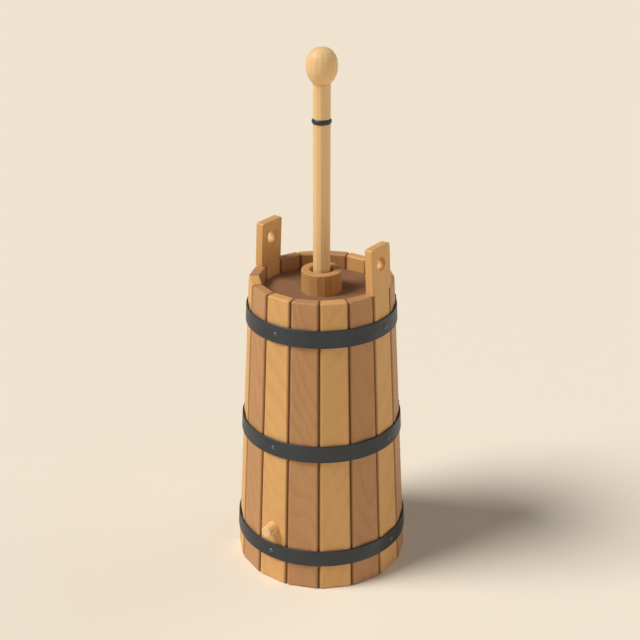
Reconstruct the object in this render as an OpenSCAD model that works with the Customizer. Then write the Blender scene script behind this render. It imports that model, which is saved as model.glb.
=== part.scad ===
// A stave-built dash churn for butter: sixteen tapered staves in three iron hoops,
// a lid with a splash collar, a dasher on a long handle and a drain plug.
// Millimetres, +Z up. The origin is the centre of the base, on the ground.
// The ear staves stand on the X axis and the drain plug faces -Y.

/* [Barrel] */
// Number of staves, a multiple of four
stave_count = 16; // [12:4:20]
// Radius at the staves' outer corners, at the base
base_r = 150; // [140:1:160]
// Radius at the staves' outer corners, at the rim
rim_r = 120.9; // [118:0.1:126]
// Height of the barrel without the ears
barrel_h = 518.7; // [490:0.1:560]
// Thickness of a stave, measured level
stave_t = 25; // [23:0.5:27]
// Bevel of the staves' long outer edges
stave_edge = 2.6; // [1:0.1:3.5]
// Bevel of the staves' top edges
rim_edge = 2.5; // [1:0.1:3]

/* [Ears] */
// Height of the ears' tops
ear_top = 595; // [580:1:620]
// Width of an ear
ear_w = 52; // [46:1:54]
// Thickness of an ear
ear_t = 14.2; // [13:0.1:14.4]
// Radius of the hole in an ear
ear_hole_r = 11; // [8:0.5:13]
// Height of the ear holes
ear_hole_z = 566; // [560:1:570]

/* [Bottom head] */
// Height of the head's underside
head_z = 18; // [14:1:22]
// Thickness of the head boards
head_t = 14; // [12:1:16]
// Thickness of the tongue that fits the groove in the staves
tongue_t = 8; // [6:1:10]
// Depth of that groove
groove_depth = 5; // [4:0.5:6]
// Half the width of the middle board
board_half = 42; // [36:1:46]
// Radius of the dowels
dowel_r = 4; // [3:0.5:5]

/* [Hoops] */
// Thickness of the hoop iron
hoop_t = 3; // [2.5:0.1:3.5]
// How far a hoop is let into the staves' corners
hoop_seat = 1.2; // [0.8:0.1:1.4]
// Radius of a nail's domed head
nail_head_r = 4; // [3:0.1:4.5]
// Radius of a nail's shank
nail_r = 1.5; // [1.2:0.1:2]

/* [Lid] */
// Height of the lid's top
lid_top = 494.3; // [480:0.1:500]
// Thickness of the lid
lid_t = 18.3; // [15:0.1:20]
// Radius of the lid
lid_r = 99.6; // [98:0.1:99.8]
// Gap between the lid and the flats of the recess
lid_gap = 0.9; // [0.5:0.1:1.2]
// Radius of the collar, at the corners of its flats
collar_r = 34.1; // [32:0.1:36]
// Radius of the collar's bore
collar_bore_r = 19.8; // [19:0.1:21]
// Height of the collar's top
collar_top = 531; // [525:0.5:535]

/* [Dasher] */
// Radius of the handle, at the corners of its flats
handle_r = 14.2; // [13:0.1:14.4]
// Height of the handle's shoulder under the knob
handle_top = 837.5; // [820:0.5:850]
// Greatest radius of the knob
knob_r = 25.2; // [23:0.1:27]
// Height of the knob's widest place above the handle's shoulder
knob_rise = 24.5; // [23:0.5:27]
// Half the height of the knob's full form
knob_half = 31; // [28:0.5:34]
// Middle height of the iron ring on the handle
ring_z = 778.5; // [700:0.5:810]
// Length of each dasher arm
arm_l = 172; // [150:1:176]
// Width of each dasher arm
arm_w = 44; // [38:1:48]
// Thickness of each dasher arm
arm_t = 20; // [16:1:22]
// Radius of the cream holes in the arms
cream_hole_r = 9; // [7:0.5:10]

/* [Drain plug] */
// Height of the plug's axis
plug_z = 103.5; // [98:0.5:110]
// How far the plug stands out of its stave
plug_out = 21.2; // [15:0.1:22]
// Radius of the plug at the stave's outer face
plug_r = 11; // [9:0.1:12]

/* [Hidden] */
step_angle = 360 / stave_count;
half_angle = step_angle / 2;
corner_slope = (base_r - rim_r) / barrel_h;
face_slope = corner_slope * cos(half_angle);
lean = atan(face_slope);
hoop_lean = atan(corner_slope);

// Radius of the staves' corners and of their flat outer and inner faces at height z
function corner_at(z) = base_r - corner_slope * z;
function face_at(z) = corner_at(z) * cos(half_angle);
function inner_at(z) = face_at(z) - stave_t;

ledge_z = lid_top - lid_t;
recess_a = lid_r + lid_gap;
chime_h = 12;
chime_depth = 8;
inner_edge = 1.3;
reach = 2 * base_r;
cut_w = 20;

ear_edge = 2;
ear_corner_r = 8;

tongue_z = head_z + (head_t - tongue_t) / 2;
head_r = inner_at(tongue_z + tongue_t / 2) + groove_depth;
head_bevel_r = inner_at(head_z + head_t) - 1;
head_flat_r = head_bevel_r - 3.5;
dowel_half = 18;
dowel_y = 62;

hoop_names = ["top", "middle", "bottom"];
hoop_low = [444.7, 242.7, 46.3];
hoop_high = [474.2, 271.8, 74.3];
hoop_edge = 0.8;
lap_angle = 20;
nail_head_h = 2.4;
nail_depth = 8;
nail_play = 0.1;
nail_places = [0, 180, 270];
lap_place = 90;
lap_rivets = [lap_place - 4.5, lap_place + 4.5];
lap_tuck = 0.25;
lap_bite = 0.6;

guide_r = 15.2;
spigot_r = 23;
collar_floor = 6;
collar_edge = 2;
collar_sides = 16;
lid_edge = 1.5;

handle_sides = 12;
knob_sides = 16;
knob_rows = 5;
knob_upper_power = 2.4;
knob_lower_power = 1.85;
knob_crown = 0.94;
knob_tip = 0.14;
foot_z = head_z + head_t;
arm_z = foot_z + 6;
arm_top = arm_z + arm_t;
arm_edge = 2;
tenon_r = 10;
wedge_w = 3.4;
wedge_tip = 1;
wedge_h = 22;
knob_tenon_r = 9;
knob_tenon_l = 38;
cream_hole_x = 52;
ring_round_r = 5.5;
ring_t = 1.7;

plug_taper = 1.5;
plug_gap = 0.3;
plug_sides = 12;
plug_tip_r = plug_r - 1.2;
plug_edge = 2;
plug_bite = 0.5;
plug_neck = 2;
plug_in = stave_t + 3;

honey = "#D9A566";
russet = "#BC855A";
pale_wood = "#E9BF86";
lid_brown = "#8E6446";
iron = "#45484A";

// Position numbers of the staves that differ, counted from +X towards +Y
ear_right_k = 0;
ear_left_k = stave_count / 2;
drain_k = 3 * stave_count / 4;

function stave_name(k) =
    k == ear_right_k ? "ear_stave_right" :
    k == ear_left_k ? "ear_stave_left" :
    k == drain_k ? "drain_stave" :
    str("stave_", k < 10 ? "0" : "", k);

// A side view in the XZ plane, extruded along Y and centred on it
module across(width) {
    rotate([90, 0, 0])
        linear_extrude(height = width, center = true)
            children();
}

// All of space above height z, as far as this object reaches
module above(z) {
    translate([-reach, -reach, z])
        cube([2 * reach, 2 * reach, reach]);
}

// A body with flat sides, from rings of [radius, height] listed from the bottom up
module whittled(rings, sides, turn = 0) {
    count = len(rings);
    points = [for (ring = rings, i = [0 : sides - 1])
        [ring[0] * cos(turn + i * 360 / sides), ring[0] * sin(turn + i * 360 / sides), ring[1]]];
    bottom = [[for (i = [0 : sides - 1]) i]];
    top = [[for (i = [sides - 1 : -1 : 0]) (count - 1) * sides + i]];
    walls = [for (row = [0 : count - 2], i = [0 : sides - 1])
        [row * sides + i, (row + 1) * sides + i,
         (row + 1) * sides + (i + 1) % sides, row * sides + (i + 1) % sides]];
    polyhedron(points = points, faces = concat(bottom, top, walls), convexity = 4);
}

// Side view of a stave, with the ledge that carries the lid and the bevelled chime
module stave_side(top_bevel) {
    polygon([
        [face_at(0) - stave_edge, 0],
        [face_at(stave_edge), stave_edge],
        [face_at(barrel_h - top_bevel), barrel_h - top_bevel],
        [face_at(barrel_h) - top_bevel, barrel_h],
        [recess_a + rim_edge, barrel_h],
        [recess_a, barrel_h - rim_edge],
        [recess_a, ledge_z],
        [inner_at(ledge_z), ledge_z],
        [inner_at(chime_h), chime_h],
        [inner_at(0) + chime_depth, 0]
    ]);
}

// Plan of one stave's share of the circle
module stave_share() {
    linear_extrude(height = barrel_h)
        polygon([[0, 0], [reach, -reach * tan(half_angle)], [reach, reach * tan(half_angle)]]);
}

// What is planed off a stave's long outer edge, side being 1 or -1
module long_edge_cut(side) {
    run = [-face_slope, -side * face_slope * tan(half_angle), 1];
    tilt = acos(1 / norm(run));
    heading = atan2(run[1], run[0]);
    bisector = (90 + half_angle) / 2;
    depth = stave_edge * cos((90 - half_angle) / 2);
    translate([face_at(0), side * face_at(0) * tan(half_angle), 0])
        rotate([0, 0, heading]) rotate([0, tilt, 0]) rotate([0, 0, -heading])
            rotate([0, 0, side * bisector])
                translate([-depth, -cut_w / 2, -cut_w])
                    cube([cut_w, cut_w, barrel_h + 3 * cut_w]);
}

// What is planed off the upright inner edge above the ledge
module recess_edge_cut(side) {
    bisector = 180 - (90 - half_angle) / 2;
    depth = inner_edge * cos((90 + half_angle) / 2);
    translate([recess_a, side * recess_a * tan(half_angle), ledge_z])
        rotate([0, 0, side * bisector])
            translate([-depth, -cut_w / 4, 0])
                cube([cut_w / 2, cut_w / 2, barrel_h]);
}

// What is planed off the top edge at a joint
module top_edge_cut(side) {
    rotate([0, 0, side * half_angle])
        translate([0, 0, barrel_h])
            rotate([45, 0, 0])
                translate([0, -rim_edge / sqrt(2), -rim_edge / sqrt(2)])
                    cube([reach, rim_edge * sqrt(2), rim_edge * sqrt(2)]);
}

// Turned seats of the three hoops
module hoop_seats() {
    for (i = [0 : 2])
        rotate_extrude($fn = 128)
            polygon([
                [corner_at(hoop_low[i]) - hoop_seat, hoop_low[i]],
                [reach, hoop_low[i]],
                [reach, hoop_high[i]],
                [corner_at(hoop_high[i]) - hoop_seat, hoop_high[i]]
            ]);
}

// Groove that holds the tongue of the bottom head
module head_groove() {
    rotate_extrude($fn = 128)
        translate([head_r - cut_w, tongue_z])
            square([cut_w, tongue_t]);
}

// The straight-grained body that every stave starts from
module stave_body(top_bevel = rim_edge, joint_bevels = true) {
    difference() {
        intersection() {
            across(4 * ear_w) stave_side(top_bevel);
            stave_share();
        }
        for (side = [-1, 1]) {
            long_edge_cut(side);
            recess_edge_cut(side);
            if (joint_bevels) top_edge_cut(side);
        }
        hoop_seats();
        head_groove();
    }
}

// Holes of the nails that hold the hoops to the stave on +X
module nail_holes() {
    for (i = [0 : 2])
        on_hoop(i, 0, 0)
            translate([0, 0, -nail_depth - hoop_t])
                cylinder(r = nail_r, h = nail_depth + 2 * hoop_t, $fn = 24);
}

// An ear, square to its own stave, before its hole is bored
module ear_blank() {
    rise = (ear_top - barrel_h) / cos(lean);
    below = 20;
    intersection() {
        translate([face_at(barrel_h), 0, barrel_h])
            rotate([0, -lean, 0])
                intersection() {
                    translate([0, 0, -below])
                        linear_extrude(height = rise + below)
                            polygon([
                                [-ear_edge, -ear_w / 2], [0, -ear_w / 2 + ear_edge],
                                [0, ear_w / 2 - ear_edge], [-ear_edge, ear_w / 2],
                                [ear_edge - ear_t, ear_w / 2], [-ear_t, ear_w / 2 - ear_edge],
                                [-ear_t, ear_edge - ear_w / 2], [ear_edge - ear_t, -ear_w / 2]
                            ]);
                    across(2 * ear_w)
                        polygon([
                            [0, -below], [0, rise - ear_edge], [-ear_edge, rise],
                            [ear_edge - ear_t, rise], [-ear_t, rise - ear_edge], [-ear_t, -below]
                        ]);
                    ear_outline(rise, below);
                }
        above(barrel_h);
    }
}

// Front view of an ear with its two round corners, as thick as the stave
module ear_outline(rise, below) {
    shoulder = ear_w / 2 - ear_corner_r;
    translate([-2 * ear_t, 0, 0])
        rotate([90, 0, 90])
            linear_extrude(height = 3 * ear_t) {
                translate([-ear_w / 2, -below])
                    square([ear_w, rise + below - ear_corner_r]);
                translate([-shoulder, -below])
                    square([2 * shoulder, rise + below]);
                for (side = [-1, 1])
                    translate([side * shoulder, rise - ear_corner_r])
                        circle(r = ear_corner_r, $fn = 48);
            }
}

module ear_stave(k) {
    color(honey)
        rotate([0, 0, k * step_angle])
            difference() {
                union() {
                    stave_body(top_bevel = 0, joint_bevels = false);
                    ear_blank();
                }
                // The hole is bored square to the board
                translate([face_at(ear_hole_z) - ear_t / 2 / cos(lean), 0, ear_hole_z])
                    rotate([0, 90 - lean, 0])
                        cylinder(r = ear_hole_r, h = 4 * ear_t, center = true, $fn = 64);
                nail_holes();
            }
}

module drain_stave() {
    color(honey)
        rotate([0, 0, drain_k * step_angle])
            difference() {
                stave_body();
                plug_seat();
                nail_holes();
            }
}

module plain_stave(k) {
    color(k % 2 == 0 ? honey : russet)
        rotate([0, 0, k * step_angle])
            stave_body();
}

module stave(k) {
    if (k == ear_right_k || k == ear_left_k) ear_stave(k);
    else if (k == drain_k) drain_stave();
    else plain_stave(k);
}

// Places a child on a hoop's outside, its Z pointing outwards, at an angle and on a given layer
module on_hoop(i, angle, layer) {
    mid = (hoop_low[i] + hoop_high[i]) / 2;
    rotate([0, 0, angle])
        translate([corner_at(mid) - hoop_seat + (layer + 1) * hoop_t, 0, mid])
            rotate([0, 90 - hoop_lean, 0])
                children();
}

// Section of one layer of hoop iron, which follows the barrel's taper and bites into what it lies on
module hoop_section(i, layer, bite = 0) {
    low = hoop_low[i];
    high = hoop_high[i];
    inside = layer * hoop_t - hoop_seat - bite;
    outside = (layer + 1) * hoop_t - hoop_seat;
    polygon([
        [corner_at(low) + inside, low],
        [corner_at(low) + outside - hoop_edge, low],
        [corner_at(low) + outside, low + hoop_edge],
        [corner_at(high) + outside, high - hoop_edge],
        [corner_at(high) + outside - hoop_edge, high],
        [corner_at(high) + inside, high]
    ]);
}

// The outer end of a hoop's strip, lapped over its inner end, and its straight run down to the hoop
module hoop_lap(i) {
    mid = (hoop_low[i] + hoop_high[i]) / 2;
    outside = corner_at(mid) - hoop_seat + 2 * hoop_t;
    landing = outside - hoop_t - lap_tuck;
    sweep = lap_angle + acos(landing / outside);
    rotate([0, 0, lap_place - lap_angle / 2 + sweep])
        intersection() {
            rotate([0, 0, -sweep])
                rotate_extrude(angle = sweep, $fn = 128)
                    hoop_section(i, 1, lap_bite);
            translate([landing, 0, mid])
                rotate([0, -hoop_lean, 0])
                    translate([-reach, -reach / 2, -reach / 2])
                        cube([reach, reach, reach]);
        }
}

module hoop(i) {
    color(iron)
        difference() {
            union() {
                rotate_extrude($fn = 128) hoop_section(i, 0);
                hoop_lap(i);
            }
            for (angle = nail_places)
                on_hoop(i, angle, 0) hoop_hole();
            for (angle = lap_rivets)
                on_hoop(i, angle, 1) hoop_hole();
        }
}

// Hole through a hoop, along the nail or rivet whose head stands on the plane z = 0
module hoop_hole() {
    translate([0, 0, -3 * hoop_t])
        cylinder(r = nail_r + nail_play, h = 4 * hoop_t, $fn = 24);
}

// A nail or rivet with a domed head that stands on the plane z = 0
module nail(shank) {
    dome_r = (nail_head_r * nail_head_r + nail_head_h * nail_head_h) / (2 * nail_head_h);
    intersection() {
        translate([0, 0, nail_head_h - dome_r]) sphere(r = dome_r, $fn = 48);
        cylinder(r = 2 * nail_head_r, h = nail_head_h + 1, $fn = 48);
    }
    translate([0, 0, -shank]) cylinder(r = nail_r, h = shank + nail_head_h / 2, $fn = 24);
}

module hoop_nails(i) {
    color(iron) {
        for (angle = nail_places)
            on_hoop(i, angle, 0) nail(hoop_t + nail_depth);
        for (angle = lap_rivets)
            on_hoop(i, angle, 1) nail(2 * hoop_t);
    }
}

// The round bottom head, bevelled down to the tongue
module head_disc() {
    rotate_extrude($fn = 128)
        polygon([
            [0, head_z], [head_flat_r, head_z],
            [head_bevel_r, tongue_z], [head_r, tongue_z],
            [head_r, tongue_z + tongue_t], [head_bevel_r, tongue_z + tongue_t],
            [head_flat_r, head_z + head_t], [0, head_z + head_t]
        ]);
}

module dowels() {
    for (x = [-board_half, board_half], y = [-dowel_y, dowel_y])
        translate([x - dowel_half, y, head_z + head_t / 2])
            rotate([0, 90, 0])
                cylinder(r = dowel_r, h = 2 * dowel_half, $fn = 32);
}

// One board of the head, between two values of x
module head_board(x_low, x_high) {
    color(honey)
        difference() {
            intersection() {
                head_disc();
                translate([x_low, -reach / 2, 0])
                    cube([x_high - x_low, reach, reach]);
            }
            dowels();
        }
}

module head_dowels() {
    color(pale_wood) dowels();
}

module lid() {
    color(lid_brown)
        difference() {
            rotate_extrude($fn = 128)
                polygon([
                    [0, ledge_z], [lid_r - lid_edge, ledge_z], [lid_r, ledge_z + lid_edge],
                    [lid_r, lid_top - lid_edge], [lid_r - lid_edge, lid_top], [0, lid_top]
                ]);
            translate([0, 0, ledge_z - 1])
                cylinder(r = spigot_r, h = lid_t + 2, $fn = 64);
        }
}

// Upright prism of the collar's flats
module collar_flats(low, high) {
    translate([0, 0, low])
        linear_extrude(height = high - low)
            polygon([for (i = [0 : collar_sides - 1])
                let (turn = i * 360 / collar_sides)
                [collar_r * cos(turn), collar_r * sin(turn)]]);
}

// The collar's hollow: the narrow guide for the handle, the wide cup and its bevelled lip
module collar_hollow() {
    floor_z = lid_top + collar_floor;
    rotate_extrude($fn = 96)
        polygon([
            [0, ledge_z - 1], [guide_r, ledge_z - 1], [guide_r, floor_z], [collar_bore_r, floor_z],
            [collar_bore_r, collar_top - collar_edge],
            [collar_bore_r + 2 * collar_edge, collar_top + collar_edge], [0, collar_top + collar_edge]
        ]);
}

// A turned cup shaved to flats, whose spigot passes through the lid
module splash_collar() {
    color(honey)
        difference() {
            union() {
                intersection() {
                    collar_flats(lid_top, collar_top);
                    rotate_extrude($fn = 96)
                        polygon([
                            [0, lid_top], [collar_r + collar_edge, lid_top],
                            [collar_r + collar_edge, collar_top - 2 * collar_edge],
                            [collar_r - collar_edge, collar_top], [0, collar_top]
                        ]);
                }
                translate([0, 0, ledge_z])
                    cylinder(r = spigot_r, h = lid_t + 1, $fn = 64);
            }
            collar_hollow();
        }
}

// Side view of the wedge, thin at its upper end
module wedge_side() {
    polygon([
        [-wedge_w / 2, foot_z], [wedge_w / 2, foot_z],
        [wedge_tip / 2, foot_z + wedge_h], [-wedge_tip / 2, foot_z + wedge_h]
    ]);
}

module handle() {
    color(pale_wood)
        difference() {
            union() {
                translate([0, 0, foot_z])
                    cylinder(r = tenon_r, h = arm_top - foot_z + 1, $fn = 64);
                translate([0, 0, arm_top])
                    cylinder(r = handle_r, h = handle_top - arm_top, $fn = handle_sides);
                translate([0, 0, handle_top - 1])
                    cylinder(r = knob_tenon_r, h = knob_tenon_l + 1, $fn = 64);
            }
            across(4 * tenon_r) wedge_side();
        }
}

module handle_wedge() {
    color(pale_wood)
        intersection() {
            across(4 * tenon_r) wedge_side();
            cylinder(r = tenon_r, h = reach, $fn = 64);
        }
}

// Radius of the knob at a height above its widest place; its upper half is the fuller one
function knob_at(dz) =
    let (power = dz > 0 ? knob_upper_power : knob_lower_power)
    knob_r * pow(1 - pow(abs(dz) / knob_half, power), 1 / power);

module knob() {
    widest = handle_top + knob_rise;
    step = knob_half / knob_rows;
    levels = concat(
        [-knob_rise], [for (i = [2 - knob_rows : knob_rows - 1]) i * step], [knob_half * knob_crown]);
    rings = concat(
        [for (dz = levels) [knob_at(dz), widest + dz]],
        [[knob_r * knob_tip, widest + knob_half]]);
    color(pale_wood)
        difference() {
            whittled(rings, knob_sides, 180 / knob_sides);
            translate([0, 0, handle_top - 1])
                cylinder(r = knob_tenon_r, h = knob_tenon_l + 1, $fn = 64);
        }
}

// Half-round iron, closed round the handle's flats
module handle_ring() {
    color(iron)
        translate([0, 0, ring_z])
            rotate_extrude($fn = 96)
                intersection() {
                    translate([handle_r + ring_t - ring_round_r, 0])
                        circle(r = ring_round_r, $fn = 64);
                    translate([handle_r, -ring_round_r])
                        square([ring_round_r, 2 * ring_round_r]);
                }
}

// One arm of the dasher along X, with its ends cut to the cross's circle
module arm_bar() {
    intersection() {
        rotate([0, 0, 90])
            across(2 * arm_l)
                polygon([
                    [-arm_w / 2 + arm_edge, arm_z], [arm_w / 2 - arm_edge, arm_z],
                    [arm_w / 2, arm_z + arm_edge], [arm_w / 2, arm_top - arm_edge],
                    [arm_w / 2 - arm_edge, arm_top], [-arm_w / 2 + arm_edge, arm_top],
                    [-arm_w / 2, arm_top - arm_edge], [-arm_w / 2, arm_z + arm_edge]
                ]);
        cylinder(r = arm_l / 2, h = reach, $fn = 96);
    }
}

// Holes of an arm: the cream's two holes and the tenon's hole
module arm_holes() {
    for (x = [-cream_hole_x, cream_hole_x])
        translate([x, 0, arm_z - 1])
            cylinder(r = cream_hole_r, h = arm_t + 2, $fn = 48);
    translate([0, 0, arm_z - 1])
        cylinder(r = tenon_r, h = arm_t + 2, $fn = 64);
}

// The half-lap, cut away between two heights
module lap_notch(low, high) {
    translate([-arm_w / 2, -arm_w, low])
        cube([arm_w, 2 * arm_w, high - low]);
}

module dasher_arm_lower() {
    color(honey)
        difference() {
            arm_bar();
            arm_holes();
            lap_notch(arm_z + arm_t / 2, arm_top + 1);
        }
}

module dasher_arm_upper() {
    color(honey)
        rotate([0, 0, 90])
            difference() {
                arm_bar();
                arm_holes();
                lap_notch(arm_z - 1, arm_z + arm_t / 2);
            }
}

// Tapered hole of the drain plug in the stave that lies on +X before it is turned
module plug_seat() {
    outer_face = face_at(plug_z);
    translate([outer_face - stave_t - 10, 0, plug_z])
        rotate([0, 90, 0])
            cylinder(
                r1 = plug_at(stave_t + 10) + plug_gap,
                r2 = plug_at(-10) + plug_gap,
                h = stave_t + 20, $fn = 64);
}

// Radius of the plug's taper at a depth below the stave's outer face
function plug_at(depth) = plug_r - plug_taper * depth / stave_t;

module drain_plug() {
    outer_face = face_at(plug_z);
    color(pale_wood)
        rotate([0, 0, drain_k * step_angle])
            translate([outer_face, 0, plug_z])
                rotate([0, 90, 0]) {
                    translate([0, 0, -plug_in])
                        cylinder(r1 = plug_at(plug_in), r2 = plug_at(0), h = plug_in, $fn = 64);
                    whittled([
                        [plug_at(0), -plug_bite], [plug_at(0), plug_neck],
                        [plug_tip_r, plug_out - plug_edge], [plug_tip_r - plug_edge, plug_out]
                    ], plug_sides, 180 / plug_sides);
                }
}

for (k = [0 : stave_count - 1])
    stave(k);
for (i = [0 : 2]) {
    hoop(i);
    hoop_nails(i);
}
head_board(-reach / 2, -board_half);  // head_board_left
head_board(-board_half, board_half);  // head_board_middle
head_board(board_half, reach / 2);  // head_board_right
head_dowels();
lid();
splash_collar();
handle();
knob();
handle_ring();
dasher_arm_lower();
dasher_arm_upper();
handle_wedge();
drain_plug();
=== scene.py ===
"""Looks of a stave-built dash churn for butter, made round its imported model.

Metres, +Z up, origin at the centre of the base on the floor. The ear staves stand on the
X axis and the drain plug faces -Y.
"""

from __future__ import annotations

import logging
import math
import random
from collections.abc import Callable, Sequence
from dataclasses import dataclass, field, replace
from enum import Enum

import bpy
from mathutils import Matrix, Vector

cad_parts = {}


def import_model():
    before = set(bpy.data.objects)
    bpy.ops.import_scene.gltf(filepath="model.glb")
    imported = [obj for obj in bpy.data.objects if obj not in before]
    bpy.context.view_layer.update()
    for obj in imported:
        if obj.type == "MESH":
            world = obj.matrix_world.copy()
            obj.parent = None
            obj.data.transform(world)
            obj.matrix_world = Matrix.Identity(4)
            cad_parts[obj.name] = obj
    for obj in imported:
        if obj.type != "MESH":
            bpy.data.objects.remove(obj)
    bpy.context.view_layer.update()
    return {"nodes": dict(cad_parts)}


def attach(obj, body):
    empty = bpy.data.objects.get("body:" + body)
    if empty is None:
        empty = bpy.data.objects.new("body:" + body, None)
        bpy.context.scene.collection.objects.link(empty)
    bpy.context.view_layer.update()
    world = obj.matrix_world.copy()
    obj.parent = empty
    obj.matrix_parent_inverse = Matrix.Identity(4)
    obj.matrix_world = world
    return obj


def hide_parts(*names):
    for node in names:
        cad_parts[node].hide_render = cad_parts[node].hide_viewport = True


LOG = logging.getLogger("churn")
FULL_TURN = 2 * math.pi
QUARTER_TURN = math.pi / 2
MERGE_GAP = 1e-6
NEAR = 1e-4

Piece = bpy.types.Object
Colour = tuple[float, float, float]
EdgeTest = Callable[[Vector, Vector], bool]


class Bench:
    """Blender's own modelling steps, with the selection made in code."""

    @staticmethod
    def take(piece: Piece) -> None:
        """Makes one piece the only one that is selected, and the active one."""
        bpy.ops.object.select_all(action="DESELECT")
        piece.select_set(True)
        bpy.context.view_layer.objects.active = piece

    @staticmethod
    def open_up(piece: Piece, kind: str = "VERT") -> None:
        """Takes a piece into edit mode with nothing selected, picking VERT, EDGE or FACE."""
        Bench.take(piece)
        bpy.ops.object.mode_set(mode="EDIT")
        bpy.ops.mesh.select_mode(type=kind)
        bpy.ops.mesh.select_all(action="DESELECT")

    @staticmethod
    def close_up() -> None:
        """Leaves edit mode."""
        bpy.ops.object.mode_set(mode="OBJECT")

    @staticmethod
    def settle(piece: Piece) -> Piece:
        """Moves a piece's place, turn and size into its mesh.

        Args:
            piece: The piece, in object mode.

        Returns:
            The same piece, whose object now sits at the origin.
        """
        Bench.take(piece)
        bpy.ops.object.transform_apply(location=True, rotation=True, scale=True)
        return piece

    @staticmethod
    def named(name: str) -> Piece:
        """Names the primitive that was just added, settles it and returns it."""
        piece = bpy.context.object
        piece.name = name
        piece.data.name = name
        return Bench.settle(piece)

    @staticmethod
    def block(name: str, low: Sequence[float], high: Sequence[float]) -> Piece:
        """Adds a rectangular blank.

        Args:
            name: The piece's name.
            low: Its lowest corner.
            high: Its highest corner.

        Returns:
            The blank, a closed box.
        """
        low, high = Vector(low), Vector(high)
        bpy.ops.object.select_all(action="DESELECT")
        bpy.ops.mesh.primitive_cube_add(size=1, location=(low + high) / 2, scale=high - low)
        return Bench.named(name)

    @staticmethod
    def rod(name: str, radius: float, low: float, high: float, sides: int = 64) -> Piece:
        """Adds an upright rod on the Z axis, one of whose corners is on +Y.

        Args:
            name: The piece's name.
            radius: Radius at its corners.
            low: Height of its lower end.
            high: Height of its upper end.
            sides: Number of sides.

        Returns:
            The rod, a closed prism.
        """
        bpy.ops.object.select_all(action="DESELECT")
        bpy.ops.mesh.primitive_cylinder_add(
            vertices=sides, radius=radius, depth=high - low, location=(0, 0, (low + high) / 2)
        )
        return Bench.named(name)

    @staticmethod
    def saw(piece: Piece, point: Sequence[float], outwards: Sequence[float]) -> None:
        """Saws off what lies beyond a plane and closes the cut.

        Args:
            piece: The piece to cut.
            point: A point on the plane.
            outwards: The plane's normal, which points to what falls off.
        """
        Bench.open_up(piece)
        bpy.ops.mesh.select_all(action="SELECT")
        bpy.ops.mesh.bisect(plane_co=point, plane_no=outwards, use_fill=True, clear_outer=True)
        Bench.close_up()

    @staticmethod
    def pick_edges(piece: Piece, wanted: EdgeTest) -> int:
        """Opens a piece with the edges selected whose two ends pass a test.

        Args:
            piece: The piece to open.
            wanted: Says of an edge's two ends whether the edge is taken.

        Returns:
            The number of edges that were taken.
        """
        Bench.open_up(piece, "EDGE")
        Bench.close_up()
        points = [vertex.co for vertex in piece.data.vertices]
        taken = 0
        for edge in piece.data.edges:
            start, end = (points[i] for i in edge.vertices)
            edge.select = wanted(start, end)
            taken += edge.select
        bpy.ops.object.mode_set(mode="EDIT")
        return taken

    @staticmethod
    def round_edges(piece: Piece, radius: float, wanted: EdgeTest, steps: int = 4) -> None:
        """Rounds the edges that pass a test.

        Args:
            piece: The piece to work on.
            radius: How far the rounding reaches from the edge.
            wanted: Says of an edge's two ends whether the edge is rounded.
            steps: Number of strips across the rounding.
        """
        if Bench.pick_edges(piece, wanted):
            bpy.ops.mesh.bevel(offset=radius, offset_type="OFFSET", segments=steps, affect="EDGES")
        Bench.close_up()

    @staticmethod
    def soften(piece: Piece, radius: float, steps: int = 3, sharp: float = 25) -> None:
        """Rounds every edge that is sharper than an angle, with a bevel modifier.

        Args:
            piece: The piece to work on.
            radius: How far the rounding reaches from the edge.
            steps: Number of strips across the rounding.
            sharp: The least angle of an edge that is rounded, in degrees.
        """
        bevel = piece.modifiers.new("soften", "BEVEL")
        bevel.width = radius
        bevel.segments = steps
        bevel.limit_method = "ANGLE"
        bevel.angle_limit = math.radians(sharp)
        Bench.take(piece)
        bpy.ops.object.modifier_apply(modifier=bevel.name)

    @staticmethod
    def combine(piece: Piece, tool: Piece, operation: str = "DIFFERENCE") -> None:
        """Cuts a tool out of a piece, or joins it on, and removes the tool.

        Args:
            piece: The piece that stays.
            tool: The closed body that is used up.
            operation: DIFFERENCE, UNION or INTERSECT.
        """
        boolean = piece.modifiers.new("combine", "BOOLEAN")
        boolean.operation = operation
        boolean.object = tool
        boolean.solver = "EXACT"
        Bench.take(piece)
        bpy.ops.object.modifier_apply(modifier=boolean.name)
        bpy.data.objects.remove(tool)

    @staticmethod
    def revolve(name: str, profile: Piece, steps: int, start: float = 0, sweep: float = FULL_TURN) -> Piece:
        """Turns a flat profile in the XZ plane about the Z axis.

        Args:
            name: The new piece's name.
            profile: A flat face that lies on the +X side; it becomes the piece.
            steps: Number of steps round the sweep.
            start: Angle at which the sweep starts, from +X towards +Y.
            sweep: Angle of the sweep.

        Returns:
            The turned body, closed at both ends where it isn't a full turn.
        """
        profile.name = name
        profile.rotation_euler = (0, 0, start)
        Bench.settle(profile)
        Bench.open_up(profile)
        bpy.ops.mesh.select_all(action="SELECT")
        bpy.ops.mesh.delete(type="ONLY_FACE")
        bpy.ops.mesh.select_all(action="SELECT")
        bpy.ops.mesh.spin(steps=steps, angle=sweep, center=(0, 0, 0), axis=(0, 0, 1))
        bpy.ops.mesh.select_all(action="SELECT")
        bpy.ops.mesh.remove_doubles(threshold=MERGE_GAP)
        if sweep < FULL_TURN:
            bpy.ops.mesh.select_all(action="SELECT")
            bpy.ops.mesh.fill_holes(sides=0)
        bpy.ops.mesh.select_all(action="SELECT")
        bpy.ops.mesh.normals_make_consistent(inside=False)
        Bench.close_up()
        return profile

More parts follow.
